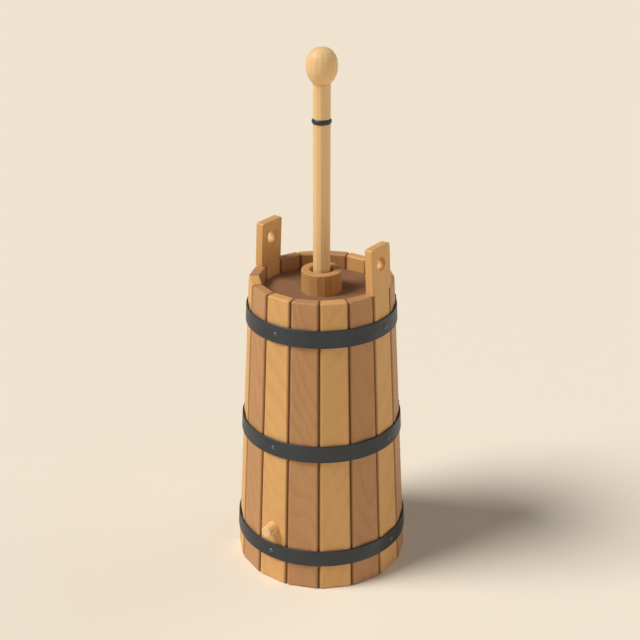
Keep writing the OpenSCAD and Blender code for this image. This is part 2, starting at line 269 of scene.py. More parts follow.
    @staticmethod
    def copy(piece: Piece, name: str) -> Piece:
        """Duplicates a piece with its own mesh.

        Args:
            piece: The piece that is copied.
            name: The copy's name.

        Returns:
            The copy.
        """
        Bench.take(piece)
        bpy.ops.object.duplicate(linked=False)
        twin = bpy.context.object
        twin.name = name
        twin.data.name = name
        return twin

    @staticmethod
    def turn(piece: Piece, angle: float) -> Piece:
        """Turns a piece about the Z axis, from +X towards +Y, and settles it."""
        piece.rotation_euler = (0, 0, angle)
        return Bench.settle(piece)

    @staticmethod
    def put(piece: Piece, place: Matrix) -> Piece:
        """Moves a piece by a matrix and settles it."""
        piece.matrix_world = place
        return Bench.settle(piece)

    @staticmethod
    def join(pieces: Sequence[Piece], name: str) -> Piece:
        """Joins pieces into one object of separate bodies.

        Args:
            pieces: The pieces, the first of which takes the others in.
            name: The joined piece's name.

        Returns:
            The joined piece.
        """
        Bench.take(pieces[0])
        for piece in pieces[1:]:
            piece.select_set(True)
        bpy.ops.object.join()
        pieces[0].name = name
        pieces[0].data.name = name
        return pieces[0]

    @staticmethod
    def finish(piece: Piece, sharp: float = 40) -> Piece:
        """Shades a piece smooth across its roundings and keeps its broad faces flat.

        Args:
            piece: The finished mesh.
            sharp: Edges that turn by more than this many degrees stay sharp.

        Returns:
            The same piece.
        """
        Bench.take(piece)
        bpy.ops.object.shade_smooth_by_angle(angle=math.radians(sharp))
        weighted = piece.modifiers.new("weighted", "WEIGHTED_NORMAL")
        weighted.keep_sharp = True
        bpy.ops.object.modifier_apply(modifier=weighted.name)
        return piece


class Signal:
    """A shader socket that takes part in Python arithmetic, each step of which is a Math node."""

    def __init__(self, tree: ShaderTree, socket: bpy.types.NodeSocket) -> None:
        """Wraps a socket of a tree."""
        self.tree = tree
        self.socket = socket

    def _math(self, operation: str, first: Number, second: Number = 0.0) -> Signal:
        """Adds one Math node and returns its result."""
        return self.tree.add("ShaderNodeMath", {"operation": operation}, {0: first, 1: second})

    def __add__(self, other: Number) -> Signal:
        """Adds."""
        return self._math("ADD", self, other)

    __radd__ = __add__

    def __sub__(self, other: Number) -> Signal:
        """Subtracts."""
        return self._math("SUBTRACT", self, other)

    def __rsub__(self, other: Number) -> Signal:
        """Subtracts this from a number."""
        return self._math("SUBTRACT", other, self)

    def __mul__(self, other: Number) -> Signal:
        """Multiplies."""
        return self._math("MULTIPLY", self, other)

    __rmul__ = __mul__

    def __truediv__(self, other: Number) -> Signal:
        """Divides."""
        return self._math("DIVIDE", self, other)

    def __abs__(self) -> Signal:
        """Drops the sign."""
        return self._math("ABSOLUTE", self)

    def root(self) -> Signal:
        """Square root."""
        return self._math("SQRT", self)

    def fraction(self) -> Signal:
        """What is left above the whole number."""
        return self._math("FRACT", self)

    def smooth(self, low: float, high: float, start: float = 0.0, end: float = 1.0) -> Signal:
        """Goes smoothly from one value to another.

        Args:
            low: Input at which the result is start.
            high: Input at which the result is end.
            start: First result.
            end: Last result.

        Returns:
            The eased signal, clamped between start and end.
        """
        return self.tree.add(
            "ShaderNodeMapRange",
            {"interpolation_type": "SMOOTHSTEP", "clamp": True},
            {"Value": self, "From Min": low, "From Max": high, "To Min": start, "To Max": end},
        )


Number = float | Signal


class ShaderTree:
    """The nodes of one material."""

    def __init__(self, name: str) -> None:
        """Starts a material with a plain surface shader."""
        self.material = bpy.data.materials.new(name)
        self.material.use_nodes = True
        self.nodes = self.material.node_tree.nodes
        self.links = self.material.node_tree.links
        self.surface = self.nodes["Principled BSDF"]

    def add(
        self,
        kind: str,
        settings: dict[str, object] | None = None,
        inputs: dict[str | int, object] | None = None,
        output: str | int = 0,
    ) -> Signal:
        """Adds a node.

        Args:
            kind: The node's type.
            settings: Its own settings, set first; stops are a colour ramp's places and greys.
            inputs: Values of its sockets, or signals that are linked to them.
            output: The socket that is given back.

        Returns:
            The signal at that output.
        """
        node = self.nodes.new(kind)
        for key, value in (settings or {}).items():
            setattr(node, key, value)
        for key, value in (inputs or {}).items():
            self.feed(node.inputs[key], value)
        return Signal(self, node.outputs[output])

    def feed(self, socket: bpy.types.NodeSocket, value: object) -> None:
        """Links a signal to a socket, or sets the socket's value."""
        if isinstance(value, Signal):
            self.links.new(value.socket, socket)
        elif isinstance(value, tuple) and len(value) == 3 and socket.type == "RGBA":
            socket.default_value = (*value, 1.0)
        else:
            socket.default_value = value

    def wear(self, **channels: object) -> None:
        """Feeds the surface shader's channels, named with underscores for spaces."""
        for name, value in channels.items():
            self.feed(self.surface.inputs[name.replace("_", " ").title()], value)

    def place(self, centre: Sequence[float], turn: Sequence[float]) -> Signal:
        """Coordinates fixed to the piece.

        Args:
            centre: Point of the object that becomes the pattern's origin.
            turn: Turn of the pattern about X, Y and Z.

        Returns:
            The point in the pattern's own axes.
        """
        here = self.add("ShaderNodeTexCoord", output="Object")
        return self.add(
            "ShaderNodeMapping",
            {"vector_type": "TEXTURE"},
            {"Vector": here, "Location": tuple(centre), "Rotation": tuple(turn)},
        )

    def stretch(self, point: Signal, factors: Sequence[float]) -> Signal:
        """Multiplies a point's coordinates by three factors."""
        return self.add("ShaderNodeVectorMath", {"operation": "MULTIPLY"}, {0: point, 1: tuple(factors)})

    def noise(self, point: Signal, scale: float = 1.0, detail: float = 2.0, rough: float = 0.5) -> Signal:
        """Smooth noise between about 0.2 and 0.8 at a point."""
        return self.add(
            "ShaderNodeTexNoise",
            {"noise_dimensions": "3D"},
            {"Vector": point, "Scale": scale, "Detail": detail, "Roughness": rough},
        )

    def parts(self, point: Signal) -> tuple[Signal, Signal, Signal]:
        """Splits a point into its three coordinates."""
        split = self.add("ShaderNodeSeparateXYZ", inputs={"Vector": point})
        node = split.socket.node
        return tuple(Signal(self, socket) for socket in node.outputs)

    def mix(self, share: Number, first: object, second: object) -> Signal:
        """Mixes two colours by a share."""
        node = self.nodes.new("ShaderNodeMix")
        node.data_type = "RGBA"
        self.feed(node.inputs["Factor"], share)
        colours = [socket for socket in node.inputs if socket.type == "RGBA"]
        self.feed(colours[0], first)
        self.feed(colours[1], second)
        result = next(socket for socket in node.outputs if socket.type == "RGBA")
        return Signal(self, result)

    def bump(self, height: Signal, depth: float) -> Signal:
        """A normal that a height moves, depth being the height's full range in metres."""
        return self.add("ShaderNodeBump", inputs={"Height": height, "Distance": depth, "Strength": 1.0})


class GrainRun(Enum):
    """The axis of the pattern that the wood's fibres follow, as a turn that brings Z onto it."""

    ALONG_Z = (0.0, 0.0, 0.0)
    ALONG_X = (0.0, QUARTER_TURN, 0.0)
    ALONG_Y = (-QUARTER_TURN, 0.0, 0.0)


@dataclass(frozen=True)
class WoodFinish:
    """Planed or shaved wood with growth rings, fibres and painted shade along the joints between staves."""

    name: str
    pale: Colour
    dark: Colour
    ring_gap: float = 0.0042
    ring_show: float = 0.25
    fibre_show: float = 0.18
    cloud_show: float = 0.24
    roughness: float = 0.52
    relief: float = 0.00016
    # Painted shade along the joints between staves: its colour, how far it reaches from a joint, and its
    # strength.
    joint_shade_tint: Colour = (0.20, 0.075, 0.02)
    joint_shade_reach: float = 0.0050
    joint_shade_strength: float = 0.85

    def board(
        self, seed: int, turn: float = 0.0, run: GrainRun = GrainRun.ALONG_Z,
        centre: Sequence[float] = (0.0, 0.0, 0.0), half_angle: float | None = None, joint_top: float = 1.0,
    ) -> bpy.types.Material:
        """Makes the material of one board.

        Args:
            seed: Picks the board's place in its tree and its shade.
            turn: The board's angle about Z, from +X towards +Y.
            run: The direction of the fibres.
            centre: Point that the pattern is centred on.
            half_angle: Half the angle that a stave fills, by which the painted shade along its joints is
                placed.
            joint_top: Height at which the joints with the next staves end, and with them the painted shade.

        Returns:
            The material.
        """
        chance = random.Random(seed)
        tree = ShaderTree(f"{self.name}_{seed}")
        spin = (run.value[0], run.value[1], run.value[2] + turn)
        point = tree.place(centre, spin)
        shift = tuple(chance.uniform(-4, 4) for _ in range(3))
        shifted = tree.add("ShaderNodeVectorMath", {"operation": "ADD"}, {0: point, 1: shift})
        x, y, z = tree.parts(point)

        wander = tree.noise(tree.stretch(shifted, (9, 9, 2.2)), detail=2) - 0.5
        waver = tree.noise(tree.stretch(shifted, (60, 60, 9)), detail=1) - 0.5
        depth = chance.uniform(0.10, 0.22)
        aside = chance.uniform(-0.05, 0.05)
        slant = chance.uniform(-0.03, 0.03)
        heart_x = x + depth + z * slant
        heart_y = y + aside
        reach = (heart_x * heart_x + heart_y * heart_y).root()
        rings = (reach + wander * 0.030 + waver * 0.0022) / self.ring_gap
        late = rings.fraction().smooth(0.35, 0.92) * rings.fraction().smooth(1.0, 0.93)
        patch = tree.noise(tree.stretch(shifted, (24, 24, 3)), detail=2).smooth(0.3, 0.7, 0.35, 1.0)

        fibre = tree.noise(tree.stretch(shifted, (420, 420, 9)), detail=3, rough=0.6)
        pores = tree.noise(tree.stretch(shifted, (900, 900, 26)), detail=2).smooth(0.56, 0.72)
        cloud = tree.noise(tree.stretch(shifted, (14, 14, 3.2)), detail=3)

        shade = late * patch * self.ring_show
        shade = shade + (fibre - 0.5) * self.fibre_show * 2
        shade = shade + (cloud - 0.5) * self.cloud_show * 2
        shade = shade + pores * 0.10 + 0.22
        clear = shade.smooth(-0.15, 1.15)
        tone = tree.mix(clear, self.pale, self.dark)

        # Painted shade: the colour darkens towards each joint between staves to deepen the shade in the
        # grooves. On an ear stave it also darkens the ear's side face.
        if half_angle is not None:
            joint = x * math.sin(half_angle) - abs(y) * math.cos(half_angle)
            below_rim = z.smooth(joint_top + 0.001, joint_top - 0.002)
            groove_shade = joint.smooth(self.joint_shade_reach, 0.0) * below_rim * self.joint_shade_strength
            tone = tree.mix(groove_shade, tone, self.joint_shade_tint)
        height = fibre * 0.45 + late * patch * 0.35 - pores * 0.4
        tree.wear(
            base_color=tone,
            roughness=(1 - clear) * 0.10 + fibre * 0.10 + (self.roughness - 0.10),
            normal=tree.bump(height, self.relief),
        )
        return tree.material


@dataclass(frozen=True)
class IronFinish:
    """Blackened iron with a faint hammered skin and worn patches that lie at random."""

    name: str
    body: Colour = (0.048, 0.055, 0.063)
    worn: Colour = (0.105, 0.116, 0.130)
    metallic: float = 0.55
    roughness: float = 0.46
    relief: float = 0.00022

    def sheet(self, seed: int) -> bpy.types.Material:
        """Makes the material of one forged piece.

        Args:
            seed: Moves the hammer marks.

        Returns:
            The material.
        """
        tree = ShaderTree(f"{self.name}_{seed}")
        point = tree.place((0.37 * seed, 0.21 * seed, 0.0), (0, 0, 0))
        hammered = tree.noise(point, scale=95, detail=2)
        scale = tree.noise(point, scale=420, detail=3, rough=0.6)
        cloud = tree.noise(point, scale=16, detail=3)
        rub = (cloud * 0.6 + scale * 0.4).smooth(0.46, 0.72)
        tree.surface.inputs["Metallic"].default_value = self.metallic
        tree.wear(
            base_color=tree.mix(rub * 0.55, self.body, self.worn),
            roughness=self.roughness + (scale - 0.5) * 0.25,
            normal=tree.bump(hammered + scale * 0.15, self.relief),
        )
        return tree.material


HONEY = WoodFinish("honey_wood", (0.760, 0.430, 0.155), (0.560, 0.270, 0.080))
RUSSET = WoodFinish("russet_wood", (0.560, 0.290, 0.120), (0.390, 0.175, 0.065))
PALE = WoodFinish(
    "pale_wood", (0.900, 0.610, 0.300), (0.760, 0.450, 0.180), ring_show=0.26, ring_gap=0.0034
)
LID_WOOD = WoodFinish("lid_wood", (0.300, 0.150, 0.075), (0.190, 0.085, 0.042), roughness=0.6)
HEAD_WOOD = WoodFinish("head_wood", (0.640, 0.370, 0.160), (0.450, 0.230, 0.085), roughness=0.6)
ARM_WOOD = WoodFinish("arm_wood", (0.700, 0.430, 0.190), (0.500, 0.270, 0.100), roughness=0.58)
COLLAR_WOOD = replace(HONEY, name="collar_wood", pale=(0.640, 0.350, 0.125), dark=(0.450, 0.215, 0.068))
HOOP_IRON = IronFinish("hoop_iron")
NAIL_IRON = IronFinish("nail_iron", body=(0.115, 0.125, 0.135), worn=(0.21, 0.22, 0.23), roughness=0.38)


def hand_over(piece: Piece, material: bpy.types.Material, body: str, slot: str, *nodes: str) -> None:
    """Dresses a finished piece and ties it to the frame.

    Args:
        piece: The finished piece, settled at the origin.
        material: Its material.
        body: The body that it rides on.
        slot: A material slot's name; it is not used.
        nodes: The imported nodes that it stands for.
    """
    piece.data.materials.clear()
    piece.data.materials.append(material)
    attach(piece, body)
    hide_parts(*nodes)
    LOG.info("%s stands for %s", piece.name, ", ".join(nodes))


def dress_node(nodes: dict[str, Piece], name: str, material: bpy.types.Material) -> None:
    """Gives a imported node, whose shape stays, its finish."""
    nodes[name].data.materials.clear()
    nodes[name].data.materials.append(material)
    LOG.info("%s keeps its packed shape", name)


@dataclass
class Barrel:
    """Sixteen tapered staves: thirteen plain ones, two with ears and one with the drain hole."""

    count: int = 16
    base_radius: float = 0.150
    rim_radius: float = 0.1209
    height: float = 0.5187
    thickness: float = 0.025
    outer_round: float = 0.0060
    end_round: float = 0.0036
    inner_round: float = 0.0014
    recess: float = 0.1005
    ledge: float = 0.476
    chime_height: float = 0.012
    chime_depth: float = 0.008
    hoop_seat: float = 0.0012
    groove_low: float = 0.021
    groove_high: float = 0.029
    groove_depth: float = 0.005
    ear_top: float = 0.595
    ear_width: float = 0.052
    ear_thickness: float = 0.0142
    ear_corner: float = 0.0045
    ear_round: float = 0.0013
    ear_hole: float = 0.011
    ear_hole_height: float = 0.566
    plug_height: float = 0.1035
    plug_radius: float = 0.011
    plug_taper: float = 0.0015
    plug_gap: float = 0.0003
    hoop_bands: tuple[tuple[float, float], ...] = (
        (0.4447, 0.4742), (0.2427, 0.2718), (0.0463, 0.0743),
    )

    @property
    def half_angle(self) -> float:
        """Half the angle that one stave fills."""
        return math.pi / self.count

    @property
    def slope(self) -> float:
        """How far the corners draw in for each metre of height."""
        return (self.base_radius - self.rim_radius) / self.height

    @property
    def lean(self) -> float:
        """Angle by which the staves' flat faces lean inwards."""
        return math.atan(self.slope * math.cos(self.half_angle))

    def corner_at(self, z: float) -> float:
        """Radius of the staves' outer corners at a height."""
        return self.base_radius - self.slope * z

    def face_at(self, z: float) -> float:
        """Distance of the staves' flat outer faces from the axis at a height."""
        return self.corner_at(z) * math.cos(self.half_angle)

    def name_of(self, number: int) -> str:
        """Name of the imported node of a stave, counted from +X towards +Y."""
        special = {
            0: "ear_stave_right",
            self.count // 2: "ear_stave_left",
            3 * self.count // 4: "drain_stave",
        }
        return special.get(number, f"stave_{number:02d}")

    def blank(self, name: str) -> Piece:
        """Saws a stave's tapered blank out of a block, on +X.

        Args:
            name: The blank's name.

        Returns:
            The blank, with sharp edges.
        """
        half_width = self.base_radius * math.tan(self.half_angle)
        outer_corner = (self.base_radius, half_width, self.height)
        piece = Bench.block(name, (self.recess / 2, -half_width, 0), outer_corner)
        leaning = Vector((math.cos(self.lean), 0, math.sin(self.lean)))
        Bench.saw(piece, (self.face_at(0), 0, 0), leaning)
        Bench.saw(piece, (self.face_at(0) - self.thickness, 0, 0), -leaning)
        for side in (-1, 1):
            across = Vector((-math.sin(self.half_angle), side * math.cos(self.half_angle), 0))
            Bench.saw(piece, (0, 0, 0), across)
        recess_corner = (self.recess, half_width, 2 * self.height)
        Bench.combine(piece, Bench.block("recess_cut", (0, -half_width, self.ledge), recess_corner))
        return piece

    def rounded(self, piece: Piece, with_top: bool) -> Piece:
        """Rounds a blank's edges as a drawknife and wear leave them.

        Args:
            piece: The sawn blank.
            with_top: Whether the top edges are rounded too.

        Returns:
            The same piece.
        """
        near = 0.0005

        def outer(point: Vector) -> bool:
            return point.x > self.face_at(point.z) - near

        def at_rim(point: Vector) -> bool:
            return point.z > self.height - near

        def long_outer(a: Vector, b: Vector) -> bool:
            return outer(a) and outer(b) and abs(a.z - b.z) > self.height / 2

        def foot_outer(a: Vector, b: Vector) -> bool:
            reach = self.outer_round + near
            outside = min(a.x - self.face_at(a.z), b.x - self.face_at(b.z)) > -reach
            return outside and max(a.z, b.z) < near

        def end_edge(a: Vector, b: Vector) -> bool:
            return foot_outer(a, b) or (with_top and at_rim(a) and at_rim(b))

        def recess_upright(a: Vector, b: Vector) -> bool:
            inside = max(a.x, b.x) < self.recess + near
            return inside and min(a.z, b.z) > self.ledge - near and abs(a.z - b.z) > 0.02

        Bench.round_edges(piece, self.outer_round, long_outer, steps=6)
        Bench.round_edges(piece, self.end_round, end_edge, steps=4)
        Bench.round_edges(piece, self.inner_round, recess_upright, steps=3)
        return piece

    def seated(self, piece: Piece) -> Piece:
        """Turns the seats of the hoops and the head's groove, and bevels the foot's inner edge."""
        for number, (low, high) in enumerate(self.hoop_bands):
            tool = self.ring_tool(f"seat_{number}", low, high, -self.hoop_seat, self.base_radius)
            Bench.combine(piece, tool)
        Bench.combine(piece, self.groove_tool())
        Bench.combine(piece, self.chime_tool())
        return piece

    def ring_tool(self, name: str, low: float, high: float, inside: float, reach: float) -> Piece:
        """A turned ring that follows the barrel's taper on its inside.

        Args:
            name: The tool's name.
            low: Its lower height.
            high: Its upper height.
            inside: How far its inside stands out from the staves' corners.
            reach: Its outer radius.

        Returns:
            The ring, used as a cutter.
        """
        middle = (low + high) / 2
        section = Section("section", reach - self.corner_at(middle) - inside, high - low)
        profile = section.at((self.corner_at(middle) + inside + reach) / 2, middle, self.slope)
        return Bench.revolve(name, profile, steps=192)

    def groove_tool(self) -> Piece:
        """The cutter that turns the head's groove."""
        mid = (self.groove_low + self.groove_high) / 2
        radius = self.face_at(mid) - self.thickness + self.groove_depth
        return Bench.rod("groove_cut", radius, self.groove_low, self.groove_high, sides=192)

    def chime_tool(self) -> Piece:
        """The cutter that bevels the staves' inner edge at the foot."""
        radius = self.face_at(0) - self.thickness
        bpy.ops.object.select_all(action="DESELECT")
        bpy.ops.mesh.primitive_cone_add(
            vertices=4 * self.count,
            radius1=radius + self.chime_depth,
            radius2=radius - self.slope * self.chime_height,
            depth=self.chime_height,
            location=(0, 0, self.chime_height / 2),
        )
        return Bench.named("chime_cut")

    def ear(self) -> Piece:
        """The pierced board that stands on an ear stave, on +X."""
        rise = (self.ear_top - self.height) / math.cos(self.lean)
        below = 0.02
        half = self.ear_width / 2
        piece = Bench.block("ear", (-self.ear_thickness, -half, -below), (0, half, rise))

        def top_corner(a: Vector, b: Vector) -> bool:
            return min(a.z, b.z) > rise - NEAR and abs(a.y - b.y) < NEAR

        Bench.round_edges(piece, self.ear_corner, top_corner, steps=10)
        hole = Bench.rod("ear_hole", self.ear_hole, -self.ear_thickness, self.ear_thickness, sides=64)
        up = (self.ear_hole_height - self.height) / math.cos(self.lean)
        through = Matrix.Translation((-self.ear_thickness / 2, 0, up))
        Bench.put(hole, through @ Matrix.Rotation(QUARTER_TURN, 4, "Y"))
        Bench.combine(piece, hole)
        Bench.soften(piece, self.ear_round, steps=4, sharp=35)
        stand = Matrix.Translation((self.face_at(self.height), 0, self.height))
        Bench.put(piece, stand @ Matrix.Rotation(-self.lean, 4, "Y"))
        Bench.saw(piece, (0, 0, self.height), (0, 0, -1))
        return piece

    def build_plain(self) -> Piece:
        """Models the plain stave that the others are copied from."""
        return self.seated(self.rounded(self.blank("plain_stave"), with_top=True))

    def build_ear_stave(self) -> Piece:
        """Models the stave that carries an ear."""
        piece = self.seated(self.rounded(self.blank("ear_stave"), with_top=False))
        Bench.combine(piece, self.ear(), "UNION")
        return piece

    def bore_drain(self, piece: Piece) -> Piece:
        """Bores the plug's tapered seat through a stave on +X."""
        face = self.face_at(self.plug_height)
        reach = 2 * self.thickness
        change = self.plug_taper * reach / self.thickness
        bpy.ops.object.select_all(action="DESELECT")
        bpy.ops.mesh.primitive_cone_add(
            vertices=64,
            radius1=self.plug_radius + self.plug_gap - change,
            radius2=self.plug_radius + self.plug_gap + change,
            depth=2 * reach,
            location=(face, 0, self.plug_height),
            rotation=(0, QUARTER_TURN, 0),
        )
        Bench.combine(piece, Bench.named("drain_cut"))
        return piece

    def build(self) -> None:
        """Models, copies and dresses all the staves."""
        plain = self.build_plain()
        eared = self.build_ear_stave()
        for number in range(self.count):
            node = self.name_of(number)
            source = eared if node.startswith("ear_") else plain
            piece = Bench.copy(source, f"{node}_shaved")
            if node == "drain_stave":
                self.bore_drain(piece)
            angle = number * 2 * self.half_angle
            Bench.turn(piece, angle)
            Bench.finish(piece)
            finish = HONEY if number % 2 == 0 else RUSSET
            material = finish.board(
                seed=number + 1, turn=angle, half_angle=self.half_angle, joint_top=self.height
            )
            slot = "honey_stave" if number % 2 == 0 else "russet_stave"
            hand_over(piece, material, "barrel", slot, node)
        bpy.data.objects.remove(plain)
        bpy.data.objects.remove(eared)


@dataclass
class Section:
    """A flat rectangle in the XZ plane that is turned into a band."""

    name: str
    width: float
    height: float
    corner: float = 0.0
    corner_steps: int = 2

    def at(self, radius: float, z: float, slope: float = 0.0) -> Piece:
        """Draws the section on the +X side.

        Args:
            radius: Distance of its middle from the axis.
            z: Height of its middle.
            slope: How far it draws in for each metre of height.

        Returns:
            The flat face.
        """
        bpy.ops.object.select_all(action="DESELECT")
        bpy.ops.mesh.primitive_plane_add(size=1, location=(radius, 0, z), rotation=(QUARTER_TURN, 0, 0))
        face = bpy.context.object
        face.scale = (self.width, self.height, 1)
        Bench.named(self.name)
        inward = -slope * self.height
        Bench.open_up(face)
        Bench.close_up()
        for vertex in face.data.vertices:
            vertex.select = vertex.co.z > z
        bpy.ops.object.mode_set(mode="EDIT")
        bpy.ops.transform.translate(value=(inward, 0, 0))
        bpy.ops.mesh.select_all(action="SELECT")
        bpy.ops.transform.translate(value=(-inward / 2, 0, 0))
        if self.corner:
            bpy.ops.mesh.bevel(offset=self.corner, segments=self.corner_steps, affect="VERTICES")
        Bench.close_up()
        return face


@dataclass
class Hoops:
    """Three flat iron hoops, each lapped and riveted at the back and nailed to three staves."""

    barrel: Barrel
    thickness: float = 0.003
    edge: float = 0.0012
    lap_place: float = QUARTER_TURN
    lap_sweep: float = math.radians(20)
    lap_tuck: float = 0.00025
    nail_radius: float = 0.004
    nail_rise: float = 0.0024
    nail_shank: float = 0.0015
    rivet_offset: float = math.radians(4.5)
    names: tuple[str, ...] = ("top", "middle", "bottom")
    nail_places: tuple[float, ...] = (0.0, math.pi, 1.5 * math.pi)

    @property
    def lean(self) -> float:
        """Angle by which the hoops lean inwards."""
        return math.atan(self.barrel.slope)

    def inner_at(self, z: float, layer: int) -> float:
        """Radius of a layer's inside at a height."""
        return self.barrel.corner_at(z) - self.barrel.hoop_seat + layer * self.thickness

    def band(self, name: str, low: float, high: float) -> Piece:
        """Models one hoop with its lap.

        Args:
            name: The piece's name.
            low: Height of the hoop's lower edge.
            high: Height of its upper edge.

        Returns:
            The hoop, on its seat.
        """
        middle = (low + high) / 2
        section = Section("section", self.thickness, high - low, corner=self.edge, corner_steps=3)
        slope = self.barrel.slope
        ring_at = self.inner_at(middle, 0) + self.thickness / 2
        ring = Bench.revolve(name, section.at(ring_at, middle, slope), steps=160)
        outside = self.inner_at(middle, 1) + self.thickness
        landing = outside - self.thickness - self.lap_tuck
        run_down = math.acos(landing / outside)
        start = self.lap_place - self.lap_sweep / 2
        sweep = self.lap_sweep + run_down
        strip = Bench.revolve(
            "lap", section.at(ring_at + self.thickness - self.lap_tuck, middle, slope),
            steps=24, start=start, sweep=sweep,
        )
        end = start + sweep
        level = math.cos(self.lean)
        facing = Vector((math.cos(end) * level, math.sin(end) * level, math.sin(self.lean)))
        Bench.saw(strip, (landing * math.cos(end), landing * math.sin(end), middle), facing)
        return Bench.join([ring, strip], name)

    def nail(self) -> Piece:
        """Models one forged nail whose head stands on the plane z = 0."""
        rise, radius = self.nail_rise, self.nail_radius
        dome = (radius * radius + rise * rise) / (2 * rise)
        bpy.ops.object.select_all(action="DESELECT")
        bpy.ops.mesh.primitive_uv_sphere_add(
            segments=24, ring_count=24, radius=dome, location=(0, 0, rise - dome)
        )
        head = Bench.named("nail_head")
        Bench.saw(head, (0, 0, 0), (0, 0, -1))
        shank = Bench.rod("nail_shank", self.nail_shank, -self.thickness, rise / 2, sides=16)
        return Bench.join([head, shank], "nail")

    def seat_of_nail(self, angle: float, middle: float, layer: int) -> Matrix:
        """Place of a nail's head on a hoop, its Z axis pointing outwards."""
        out = Matrix.Translation((self.inner_at(middle, layer) + self.thickness, 0, middle))
        return Matrix.Rotation(angle, 4, "Z") @ out @ Matrix.Rotation(QUARTER_TURN - self.lean, 4, "Y")

    def build(self) -> None:
        """Models, copies and dresses the hoops and their nails."""
        nail = self.nail()
        rivets = (self.lap_place - self.rivet_offset, self.lap_place + self.rivet_offset)
        places = [(angle, 0) for angle in self.nail_places] + [(angle, 1) for angle in rivets]
        for number, (name, (low, high)) in enumerate(zip(self.names, self.barrel.hoop_bands)):
            hoop = self.band(f"hoop_{name}_forged", low, high)
            Bench.finish(hoop)
            hand_over(hoop, HOOP_IRON.sheet(number + 1), "barrel", "hoop_iron", f"hoop_{name}")
            nails = []
            for angle, layer in places:
                copy = Bench.copy(nail, "nail_copy")
                nails.append(Bench.put(copy, self.seat_of_nail(angle, (low + high) / 2, layer)))
            group = Bench.join(nails, f"hoop_nails_{name}_forged")
            Bench.finish(group, sharp=50)
            hand_over(group, NAIL_IRON.sheet(number + 11), "barrel", "nail_iron", f"hoop_nails_{name}")
        bpy.data.objects.remove(nail)


@dataclass
class Lid:
    """The round board in the rim and the flat-sided collar that keeps splashes in."""

    radius: float = 0.0996
    bottom: float = 0.476
    top: float = 0.4943
    edge: float = 0.0014
    spigot: float = 0.023
    collar_radius: float = 0.0341
    collar_sides: int = 16
    collar_top: float = 0.531
    collar_edge: float = 0.0022
    collar_flat_edge: float = 0.0009
    bore: float = 0.0198
    guide: float = 0.0152
    floor_rise: float = 0.006

    def build_board(self) -> None:
        """Models and dresses the lid's board."""
        piece = Bench.rod("lid_board", self.radius, self.bottom, self.top, sides=160)
        Bench.soften(piece, self.edge, steps=3, sharp=60)
        Bench.combine(piece, Bench.rod("spigot_hole", self.spigot, self.bottom - 0.01, self.top + 0.01))
        Bench.finish(piece)
        material = LID_WOOD.board(seed=31, run=GrainRun.ALONG_X, centre=(0, 0, self.top))
        hand_over(piece, material, "lid", "lid_wood", "lid")

    def build_collar(self) -> None:
        """Models and dresses the collar."""
        piece = Bench.rod("collar_cup", self.collar_radius, self.top, self.collar_top, self.collar_sides)
        Bench.combine(piece, Bench.rod("bore_cut", self.bore, self.top + self.floor_rise, 1.0, sides=64))

        def lip(a: Vector, b: Vector) -> bool:
            return min(a.z, b.z) > self.collar_top - NEAR

        def upright(a: Vector, b: Vector) -> bool:
            outside = min(a.xy.length, b.xy.length) > self.bore + 0.002
            return outside and abs(a.z - b.z) > 0.01

        Bench.round_edges(piece, self.collar_edge, lip, steps=4)
        Bench.round_edges(piece, self.collar_flat_edge, upright, steps=2)
        Bench.combine(piece, Bench.rod("spigot", self.spigot, self.bottom, self.top + 0.001), "UNION")
        Bench.combine(piece, Bench.rod("guide_cut", self.guide, self.bottom - 0.01, 1.0, sides=64))
        Bench.finish(piece)
        hand_over(piece, COLLAR_WOOD.board(seed=41), "lid", "collar_wood", "splash_collar")

    def build(self) -> None:
        """Builds the lid and its collar."""
        self.build_board()
        self.build_collar()


